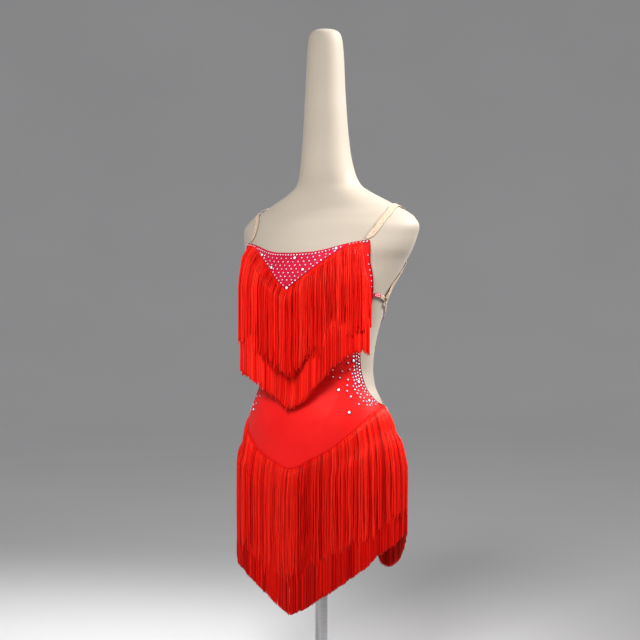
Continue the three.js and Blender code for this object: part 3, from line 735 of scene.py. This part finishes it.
# ---- the dress's cloth
def side_edge(side, v):
    """The panel's side edge at v, with the hip line's tilt worked in below the waist."""
    step = np.asarray(v) * (len(CUT_OUT_EDGE) - 1)
    z = edge_height(step)
    angle = side * edge_angle(step)
    low = 1 - smoothstep(z, 530, 640)
    return angle, z + low * WALL_TILT * sine(angle)


def panel_place(u, v):
    """The angle and height on the front panel, which fills the outline of its four edges."""
    v = v ** 1.25  # rows lie closer together on the curved chest
    side = 2 * u - 1
    tops = (side * NECK_CORNER, neckline(side * NECK_CORNER))
    bottoms = (side * SIDE_SEAM, hip_line(side * SIDE_SEAM))
    rights, lefts = side_edge(-1, v), side_edge(1, v)
    corners = [side_edge(-1, 0.0), side_edge(-1, 1.0), side_edge(1, 0.0), side_edge(1, 1.0)]
    filled = []
    for axis in (0, 1):
        a, b, c, d = (corner[axis] for corner in corners)
        patch = (1 - u) * ((1 - v) * a + v * b) + u * ((1 - v) * c + v * d)
        ruled = (1 - v) * tops[axis] + v * bottoms[axis] + (1 - u) * rights[axis] + u * lefts[axis]
        filled.append(ruled - patch)
    return filled


def crease_height(angle, z):
    """How far the panel's soft creases raise its cloth."""
    height = np.zeros(np.shape(angle))
    for at, level, slant, half_length, half_width, depth in PANEL_CREASES:
        x = (angle - at) * math.radians(1) * form_half(level)
        y = z - level
        along = x * sine(slant) + y * cosine(slant)
        aside = x * cosine(slant) - y * sine(slant)
        bend = aside + 0.06 * along ** 2 / half_width
        height += depth * np.exp(-(bend / half_width) ** 2 - (along / half_length) ** 2)
    return height


def front_panel():
    def place(u, v, lift):
        angle, z = panel_place(u, v)
        fade = np.minimum(np.minimum(u, 1 - u), np.minimum(v, 1 - v))
        soft = crease_height(angle, z) * smoothstep(fade, 0, CREASE_FADE)
        return off_hips(angle, z, lift + soft)

    obj = piece(shell("satin_front", place, 100, 116, CLOTH), SATIN, ["front_panel"])


def skirt_part(name, start, end, node):
    """A part of the skirt's base, with slight upright folds below the hips."""
    def place(u, v, lift):
        angle = start + (end - start) * u
        top = waist_edge(angle) - 0.5
        z = top * (1 - v) + SKIRT_BOTTOM * v
        loose = smoothstep(HIP_HEIGHT + 40 - z, 0, 110)
        fold = loose * (0.55 * sine(angle * 11 + 40) + 0.35 * sine(angle * 17 + 10))
        return off_hips(angle, z, lift + 0.5 * loose + fold)

    obj = piece(shell(name, place, 130, 44, CLOTH), SATIN, [node])


def overlays():
    """What the yoke's and the low back's stones are set on."""
    place = band_place(-YOKE_END, YOKE_END, lambda a: neckline(a) - 0.6, yoke_edge)
    ground = shell("yoke_ground", place, 90, 24, OVERLAY)
    piece(ground, YOKE_NET, ["crystal_yoke"])
    place = band_place(101, 259, lambda a: low_back_edge(a) - 0.8, lambda a: low_back_edge(a) - 7)
    ground = shell("low_back_ground", place, 150, 3, OVERLAY)
    piece(ground, YOKE_NET, ["low_back_band"])


def piping(name, angle, z, lift, radius, material):
    """A narrow corded edge along a line on the form."""
    centre, outward = evenly_spaced(*line_on_form(angle, z, lift), 4)
    return piece(swept(name, centre, unit(outward), radius, radius * 0.8, 8), material)


def edgings():
    """Bound edges of the panel, the seam at the hips and the low back's edge."""
    across = np.linspace(-46.5, 46.5, 200)
    piping("neck_binding", across, neckline(across) - 0.4, 4.0, 1.0, DARK_SATIN)
    for side, word in SIDES:
        angle, z = side_edge(side, EDGE_SHARES)
        piping(f"side_binding_{word}", angle - side * 0.2, z, 3.6, 1.0, DARK_SATIN)
    hips = np.linspace(-99, 99, 300)
    piping("hip_piping", hips, hip_line(hips) + 0.6, 3.9, 0.9, SATIN)
    back = np.linspace(102, 258, 260)
    piping("low_back_binding", back, low_back_edge(back) - 0.2, 3.9, 1.0, SATIN)


# ---- straps
def strap_line(kind, route, side):
    """A strap's middle line and outward directions; it rises where it is sewn on and crosses."""
    _, _, lift, count, _ = STRAPS[kind]
    rows = [(share, *row) for share, row in zip(np.linspace(0, 1, len(route)), route)]
    share = np.linspace(0, 1, count)
    angle, z = curve(rows, 1)(share), curve(rows, 2)(share)
    lean = curve(rows, 3)(share) if len(rows[0]) > 3 else 0
    if kind == "shoulder_strap":
        lift = lift + SEWN_LIFT * smoothstep(share, 0.93, 0.965)
    elif kind == "back_strap":
        lift = lift + SEWN_LIFT * (1 - smoothstep(share, 0.02, 0.07))
    if side > 0 and kind in CROSSING_REACH:
        reach = CROSSING_REACH[kind]
        beside = smoothstep(np.abs(angle - 180), reach, reach + 14)
        lift = lift + CROSSING_LIFT * (1 - beside)
    place = side * angle + lean
    return off_form(place, z, lift), outward_at(place, z)


def straps():
    """The straps and side loops of both sides, and the lines that their crystals follow."""
    lines = {}
    for side, word in SIDES:
        end = (BACK_STRAP_END, low_back_edge(side * BACK_STRAP_END) + 3.5)
        for kind, route, material, slot in (
            ("shoulder_strap", SHOULDER_ROUTE, ELASTIC, "elastic"),
            ("back_strap", [*BACK_ROUTE, end], ELASTIC, "elastic"),
            ("side_loop", LOOP_ROUTE, LOOP_BAND, "satin"),
        ):
            width, thickness, _, count, _ = STRAPS[kind]
            centre, outward = strap_line(kind, route, side)
            lines[kind, word] = centre, outward
            half_width = width / 2
            if kind == "shoulder_strap":  # gathered where it is sewn to the neckline's corner
                half_width = half_width * (0.45 + 0.55 * smoothstep(np.arange(count), 0, 9))
            obj = swept(f"{kind}_band_{word}", centre, outward, half_width, thickness / 2, 14, 5)
            piece(obj, material, [f"{kind}_{word}"])
    return lines


# ---- fringe
def hanging_lines(angle, top, bottom, lift, root_lift, tape_below, forward):
    """Lines of strands that flare off their tape, are pushed out by the body and else hang plumb.

    An upper tier stands off fully from the tape below it. A lower tier has `forward`: the hem that
    it comes forward under, and how far.
    """
    stations = np.append(np.linspace(0, 0.985, STRAND_POINTS - 1) ** 1.15, 1)
    fine = np.arange(FINE_STEPS * (STRAND_POINTS - 1) + 1) / FINE_STEPS
    share = np.interp(fine, np.arange(STRAND_POINTS), stations)
    angle, top, bottom, lift, root_lift = (a[:, None] for a in (angle, top, bottom, lift, root_lift))
    z = top + (bottom - top) * share
    start = off_form(angle, top, lift)
    outward = unit(outward_at(angle, top) * (1, 1, 0))
    away = off_form(angle, np.maximum(z, HIP_HEIGHT), lift) - start
    reach = np.maximum.accumulate(np.maximum(np.sum(away * outward, -1), 0), axis=1)
    if forward is not None:
        hem_above, most = forward
        above, below = TUCKED
        reach += most * smoothstep(hem_above(angle) + above - z, 0, above + below)
    hung = start + reach[..., None] * outward
    hung[..., 2] = z
    root = off_hips(angle, z, root_lift)
    flare = smoothstep(top - z, 0, FLARE_DROP)
    if tape_below is not None:
        ledge = smoothstep(tape_below(angle) + LEDGE - z, 0, 2 * LEDGE)
        late = 0.3 + 0.4 * smoothstep(np.abs(wrapped(angle)), 15, 55)
        flare = flare * (1 - late) + ledge * late
    flare = flare[..., None]
    lines = root * (1 - flare) + hung * flare
    return lines[:, ::FINE_STEPS], share[::FINE_STEPS], outward[:, 0]


def strands(name, level, tape_top, hem, tape_below, forward):
    """One tape's strands: rows one over another, in loosely clinging clumps."""
    start, end, ragged, seed, lightness_with_painted_shade = FRINGES[name]
    upper = forward is None
    rows = OUTER_ROWS if upper else INNER_ROWS
    rng = np.random.default_rng(SEED + seed)
    length, angle_at = evenly(start, end, level)
    per_row = int(length / STRAND_SPACING)
    row = np.repeat(np.arange(len(rows)), per_row)

    def each(low, high):
        """A random value for each strand."""
        return rng.uniform(low, high, len(row))

    def bell(spread):
        return rng.normal(0, spread, len(row))

    def by_clump(spread):
        return rng.normal(0, spread, clumps)[clump]

    place = np.tile(np.arange(per_row), len(rows)) + 0.2 + 0.3 * row
    share = (place + each(-0.15, 0.15)) / per_row
    angle = angle_at(share)
    arc = share * length

    wobble = 1.5 * np.sin(arc / 23.0 + row) + each(-0.8, 0.8)
    clump = np.floor((arc + ROW_SHIFT * row + wobble) / CLUMP).astype(int) + 1
    clumps = clump.max() + 2
    centre = (np.arange(clumps) - 0.5) * CLUMP + rng.normal(0, 0.8, clumps)
    pull = np.clip(centre[clump] - ROW_SHIFT * row - arc, -CLUMP, CLUMP)

    top = tape_top(angle) - 0.8
    loose = 1.3 if upper else 0.3
    uneven = bell(2.4) + by_clump(1.8)
    few, most = CUT_SHORT
    cut_short = most * (each(0, 1) > 1 - few) * each(0, 1)
    bottom = hem(angle) + ragged * (uneven + cut_short)
    clump_out = by_clump(0.7)
    lift = np.array(rows)[row] + each(-0.6, 0.6) + clump_out
    root_lift = TAPE[1] + 0.35 * row + each(-0.1, 0.1)
    lines, down, outward = hanging_lines(angle, top, bottom, lift, root_lift, tape_below, forward)

    z = lines[..., 2]
    phase = rng.uniform(0, 2 * np.pi, (2, clumps))[:, clump]
    sway = 0.8 * np.sin(z / rng.uniform(24, 40, clumps)[clump, None] + phase[0][:, None])
    own = np.sin(z / each(9, 17)[:, None] + each(0, 6.3)[:, None])
    cling = pull[:, None] * (0.26 * loose * smoothstep(down, 0.05, 0.75))
    few, far = STRAYS
    stray = (loose * bell(far) * (each(0, 1) > 1 - few))[:, None]
    aside = cling + (loose * sway + stray) * down + 0.27 * loose * own * smoothstep(down, 0, 0.3)
    inward = 0.4 * np.sin(z / 31.0 + phase[1][:, None]) * down
    across = np.cross(UP, outward)
    lines += aside[..., None] * across[:, None] + inward[..., None] * outward[:, None]

    # The skirt's lower tiers start darker: painted shade, not a different dye.
    tone = lightness_with_painted_shade + bell(0.2) + by_clump(0.12)
    thickness = 1 if upper else LOWER_TIER_THICKNESS
    radius = STRAND_RADIUS * thickness * each(0.88, 1.12)
    turn = 2 * np.pi * np.arange(STRAND_SIDES) / STRAND_SIDES
    ring = np.cos(turn)[:, None] * across[:, None] + np.sin(turn)[:, None] * outward[:, None]
    taper = np.ones(STRAND_POINTS)
    taper[-1] = STRAND_TIP
    rings = lines[:, :, None] + (radius[:, None] * taper)[..., None, None] * ring[:, None]
    tones = np.repeat(np.clip(tone, 0, 1), STRAND_POINTS * STRAND_SIDES)
    return tubes(f"{name}_strands", lines, rings, tones)


def fringe(name, level, tape_top, hem, tape_below=None, forward=None):
    """A header tape with its strands, as one piece; a lower tier has `forward`."""
    start, end = FRINGES[name][:2]
    place = band_place(start, end, tape_top, lambda a: tape_top(a) - TAPE_WIDTH)
    header = shell("header", place, int(abs(end - start) * 1.2), 2, TAPE)
    tone = header.data.attributes.new("tone", "FLOAT", "POINT")
    tone.data.foreach_set("value", np.full(len(header.data.vertices), 0.5))
    header.data.uv_layers.new(name="UVMap")
    hung = strands(name, level, tape_top, hem, tape_below, forward)
    piece(joined(f"{name}_strands", [hung, header]), FRINGE, [name])


def fringes():
    """The bust's two tiers, and the skirt's two in front and two behind."""
    fringe("bust_fringe_upper", BUST_LEVEL, bust_tape_upper, bust_upper_hem)
    fringe(
        "bust_fringe_lower", BUST_LEVEL, bust_tape_lower, bust_lower_hem,
        forward=(bust_upper_hem, BUST_FORWARD),
    )
    tapes = (("front", lambda a: hip_line(a) - 1), ("back", lambda a: low_back_edge(a) - 7.5))
    for word, tape in tapes:
        fringe(f"skirt_fringe_upper_{word}", HIP_LEVEL, tape, skirt_upper_hem, skirt_tape_lower)
    for word, _ in tapes:
        fringe(
            f"skirt_fringe_lower_{word}", HIP_LEVEL, skirt_tape_lower, skirt_lower_hem,
            forward=(skirt_upper_hem, SKIRT_FORWARD),
        )


# ---- crystals
def turned(rings, sides=8, start=0.0, twist=0.0, squash=1.0):
    """Points and faces of a small closed stack of rings, each (radius, height)."""
    points = []
    for index, (radius, height) in enumerate(rings):
        turn = np.pi * (2 * np.arange(sides) + start + twist * index) / sides
        points.append(stacked(radius * np.cos(turn), squash * radius * np.sin(turn), height))
    return np.concatenate(points), closed_stack(sides, len(rings))


# A flat-backed cut stone of radius 1 (a girdle, two crowns and a table), and the thin dark rim
# that it sits in, which is partly its maroon setting and partly painted shade under the stone.
STONE = turned([(1.0, 0.0), (1.0, 0.14), (0.78, 0.42), (0.44, 0.60)], twist=1)
SETTING_AND_SHADE = turned([(1.62, 0.0), (1.52, 0.24)])


def stitch_template():
    """A stitch one unit long, lying along its first axis."""
    stations = [(0.06, -0.5), (0.15, -0.36), (0.15, 0.36), (0.06, 0.5)]
    points, faces = turned(stations, sides=4, start=1, squash=0.7)
    return points[:, [2, 0, 1]], faces


def frames_at(outward, turn):
    """Axes for flat copies: two along the surface, turned, and one outward."""
    out = unit(outward)
    first = unit(np.cross((0.05, 0.02, 1.0), out))
    second = np.cross(out, first)
    c, s = np.cos(turn)[:, None], np.sin(turn)[:, None]
    return np.stack([first * c + second * s, second * c - first * s, out], 1)


def set_crystals(name, places, rng):
    """Stones in dark settings, partly painted shade, on the satin, from (angle, height, lift, diameter)
    rows.
    """
    angle, z, lift, diameter = np.array(places, float).T
    crystals_at(name, *line_on_form(angle, z, lift), diameter, rng, True)


def crystals_at(name, origin, outward, diameter, rng, with_settings_and_shade=False):
    tilt = rng.normal(0, 0.05, (len(origin), 3))
    frames = frames_at(outward + tilt, rng.uniform(0, 6.3, len(origin)))
    if with_settings_and_shade:
        rim = copies(f"{name}_settings", *SETTING_AND_SHADE, origin, frames, diameter / 2)
        piece(rim, STONE_BACKING_AND_SHADE)
        origin = origin + SETTING_HEIGHT * diameter[:, None] * unit(outward)
    tone = np.clip(rng.normal(0.4, 0.25, len(origin)), 0, 0.85)
    # the largest stones take the near-white end: a painted highlight for their glints
    tone[diameter == SPARKLE] = 1
    piece(copies(name, *STONE, origin, frames, diameter / 2, tone), CRYSTAL)


def arc_step(spacing, z):
    """The angle of a step across the front of the form."""
    return math.degrees(spacing / form_half(z))


def yoke_places():
    """Stones along the neckline and the V, and staggered rows between."""
    lift = OVERLAY[1]
    places = [(a, z, lift, SPARKLE) for a, z in YOKE_SPARKLES]
    for angle in np.arange(-31.5, 31.6, arc_step(6.4, 830)):
        places.append((angle, neckline(angle) - 4.2, lift, YOKE_STONE))
    for side in (-1, 1):
        for share in np.linspace(0.02, 0.96, 14):
            angle = side * 28.5 * share
            places.append((angle, yoke_edge(angle) + 3.6 + 1.2 * share, lift, YOKE_STONE))
    step = arc_step(10.8, 800)
    for row in range(10):
        for column in range(-7, 8):
            angle = (column + 0.5 * (row % 2)) * step
            z = neckline(angle) - 11 - 7 * row
            if z > yoke_edge(angle) + 9:
                places.append((angle, z, lift, YOKE_STONE))
    return apart(places, 5)


def neckline_places():
    """A row on each side, from the yoke to the strap."""
    lift = CLOTH[1] + 2.4
    return [
        (side * angle, neckline(angle) - 2.6, lift, NECKLINE_STONE)
        for side in (-1, 1)
        for angle in np.arange(34.8, 46, 2.1)
    ]


def on_panel(angle, z, inward, diameter):
    """A stone's place on the panel's cloth, `inward` degrees from the side edge."""
    crease = crease_height(angle, z) * smoothstep(inward / 140, 0, CREASE_FADE)
    return angle, z, CLOTH[1] + crease, diameter


def edge_rows(side):
    """Staggered rows of stones along the cut-out's edge, from the waist to the low back."""
    angle, z = side_edge(side, np.linspace(0.46, 0.995, 400))
    degree = np.linalg.norm(form_point(angle + 0.5, z) - form_point(angle - 0.5, z), axis=1)
    moves = np.stack([np.gradient(side * angle) * degree, np.gradient(z)], -1)
    run = np.cumsum(np.linalg.norm(moves, axis=1))
    along = unit(moves)
    rows = []
    for row, start in enumerate(EDGE_ROW_STARTS):
        inward = 3.2 + EDGE_ROW_STEP * row
        reach = np.arange(start + 0.5 * EDGE_SPACING * (row % 2), run[-1], EDGE_SPACING)
        at = np.searchsorted(run, reach).clip(0, len(run) - 1)
        beside = angle[at] + side * inward * along[at, 1] / degree[at]
        below = z[at] - inward * along[at, 0]
        rows += [(a, b, inward / 2.6) for a, b in zip(beside, below)]
    return rows


def side_places(side, rng):
    """Stones down the side edge, dense beside the waist, and scattered inward from it."""
    places = [on_panel(side * a, z, 8, SPARKLE) for a, z in SIDE_SPARKLES]
    for v in ARMHOLE_STONES:
        angle, z = side_edge(side, v)
        places.append(on_panel(angle - side * 1.6, z, 1.6, SMALL_STONE))
    for angle, z, inward in edge_rows(side):
        if z > hip_line(angle) + 6:
            places.append(on_panel(angle, z, inward, EDGE_STONE))
    least = [5.4] * len(places)
    for _ in range(SCATTER_TRIES):
        inward = 8 + 27 * rng.uniform() ** 1.6
        angle, z = side_edge(side, rng.uniform(0.45, 0.97))
        angle -= side * inward
        if z > hip_line(angle) + 9:
            places.append(on_panel(angle, z, inward, SCATTERED_STONE))
            least.append(6 + 0.2 * inward)
    return apart(places, least)


def apart(places, least):
    """Leaves out stones that stand too near one placed before."""
    kept, spots = [], np.empty((0, 3))
    for place, need in zip(places, np.broadcast_to(least, len(places))):
        spot = form_point(place[0], place[1])
        if np.all(np.linalg.norm(spots - spot, axis=1) > need):
            kept.append(place)
            spots = np.vstack([spots, spot])
    return kept


def crystals(lines):
    """All stones; `lines` holds each strap's middle line and outward directions."""
    rng = np.random.default_rng(SEED)
    set_crystals("yoke_crystals", yoke_places(), rng)
    set_crystals("neckline_crystals", neckline_places(), rng)
    for side, word in SIDES:
        set_crystals(f"side_crystals_{word}", side_places(side, rng), rng)
    back = [
        (angle, low_back_edge(angle) - 2.6 - 2.7 * row, OVERLAY[1], BACK_STONE)
        for row in (0, 1)
        for angle in np.arange(102.5 + 0.9 * row, 258, 1.8)
    ]
    set_crystals("low_back_crystals", back, rng)
    for (kind, word), (centre, outward) in lines.items():
        _, thickness, _, _, spacing = STRAPS[kind]
        origin, out = evenly_spaced(centre, outward, spacing)
        origin, out = origin[1:-1], unit(out[1:-1])
        if kind == "side_loop":
            covered = int(len(origin) * LOOP_COVER)
            origin, out = origin[:covered], out[:covered]
            across = LOOP_STONES_ASIDE * unit(np.cross(out, np.gradient(origin, axis=0)))
            origin = np.concatenate([origin + across, origin - across])
            out = np.concatenate([out, out])
        origin = origin + out * thickness / 2
        diameter = np.full(len(origin), SMALL_STONE)
        crystals_at(f"{kind}_crystals_{word}", origin, out, diameter, rng)


# ---- sewing
def stitched(name, angle, z):
    """A row of stitches along a line on the cloth."""
    centre, outward = evenly_spaced(*line_on_form(angle, z, CLOTH[1] + 0.05), STITCH_SPACING)
    along = unit(np.gradient(centre, axis=0))
    across = unit(np.cross(unit(outward), along))
    frames = np.stack([along, across, np.cross(along, across)], 1)
    obj = copies(name, *stitch_template(), centre, frames, np.full(len(centre), STITCH_LENGTH))
    obj.data.shade_smooth()
    return obj


def sewing():
    """Stitches inside the neckline, the side edges and the hip line."""
    across = np.linspace(34.5, 45.5, 60)
    rows = []
    for side in (-1, 1):
        rows.append(stitched("neck_row", side * across, neckline(across) - 5.4))
        angle, z = side_edge(side, EDGE_SHARES)
        rows.append(stitched("side_row", angle - side * 2.4, z))
    hips = np.linspace(-97, 97, 300)
    rows.append(stitched("hip_row", hips, hip_line(hips) + 4.2))
    piece(joined("edge_stitches", rows), THREAD)


# ---- camera, floor and light
# These sizes are in metres.
CAMERA_AZIMUTH = math.radians(30)
CAMERA_DISTANCE = 3.2
CAMERA_HEIGHT = 0.696
CAMERA_ASIDE = -0.0025
FLOOR_RADIUS = 7
WALL_BEND = 4
WORLD_COLOUR = (0.80, 0.80, 0.81, 1)
WORLD_STRENGTH = 0.45
# Soft lights: azimuth and elevation in degrees, distance, height aimed at, width, power in watts
# and width of the beam in degrees.
LIGHTS = {
    "key": (14, 26, 1.9, 0.80, 0.7, 5.1, 60),
    "fill": (122, 36, 2.4, 1.0, 1.0, 13, 45),
    "back": (215, 45, 3.4, 0.75, 1.8, 4, 180),
}


def camera():
    data = bpy.data.cameras.new("camera")
    data.lens, data.sensor_width = 90, 36
    obj = added("camera", data)
    s, c = math.sin(CAMERA_AZIMUTH), math.cos(CAMERA_AZIMUTH)
    obj.location = (
        s * CAMERA_DISTANCE + c * CAMERA_ASIDE, -c * CAMERA_DISTANCE + s * CAMERA_ASIDE, CAMERA_HEIGHT
    )
    obj.rotation_euler = (math.radians(90), 0, CAMERA_AZIMUTH)
    bpy.context.scene.camera = obj


def area_light(name, azimuth, elevation, distance, height, size, power, spread):
    """A soft light that looks at the form's axis at a height."""
    data = bpy.data.lights.new(name, "AREA")
    data.energy, data.size, data.spread = power, size, math.radians(spread)
    obj = added(name, data)
    a, e = math.radians(azimuth), math.radians(elevation)
    back = Vector((math.sin(a) * math.cos(e), -math.cos(a) * math.cos(e), math.sin(e)))
    obj.location = Vector((0, 0, height)) + back * distance
    obj.rotation_euler = back.to_track_quat("Z", "Y").to_euler()


def studio():
    """A pale floor that rises into a wall all round, and soft lights."""
    rise = np.radians(np.linspace(0, 90, 25))
    radii = np.concatenate([[0.5, 2, 4], FLOOR_RADIUS + WALL_BEND * np.sin(rise)])
    heights = np.concatenate([[0, 0, 0], WALL_BEND * (1 - np.cos(rise))])
    turn = 2 * np.pi * np.arange(96) / 96
    rings = stacked(radii[:, None] * np.cos(turn), radii[:, None] * np.sin(turn), heights[:, None])
    floor = mesh_object(
        "floor", rings / MM, grid_quads(96, len(radii), closed=True), np.arange(96)[None]
    )
    floor.data.materials.append(floor_material())
    world = bpy.data.worlds.new("studio")
    world.use_nodes = True
    tree = world.node_tree
    fill(tree, tree.nodes["Background"], {"Color": WORLD_COLOUR, "Strength": WORLD_STRENGTH})
    bpy.context.scene.world = world
    for name, values in LIGHTS.items():
        area_light(name, *values)
    bpy.context.scene.view_settings.view_transform = "Standard"


camera()
studio()
form_body()
stand()
front_panel()
skirt_part("satin_skirt_front", -99.8, 99.8, "skirt_front")
skirt_part("satin_skirt_back", 100.2, 259.8, "skirt_back")
overlays()
edgings()
strap_lines = straps()
fringes()
crystals(strap_lines)
sewing()
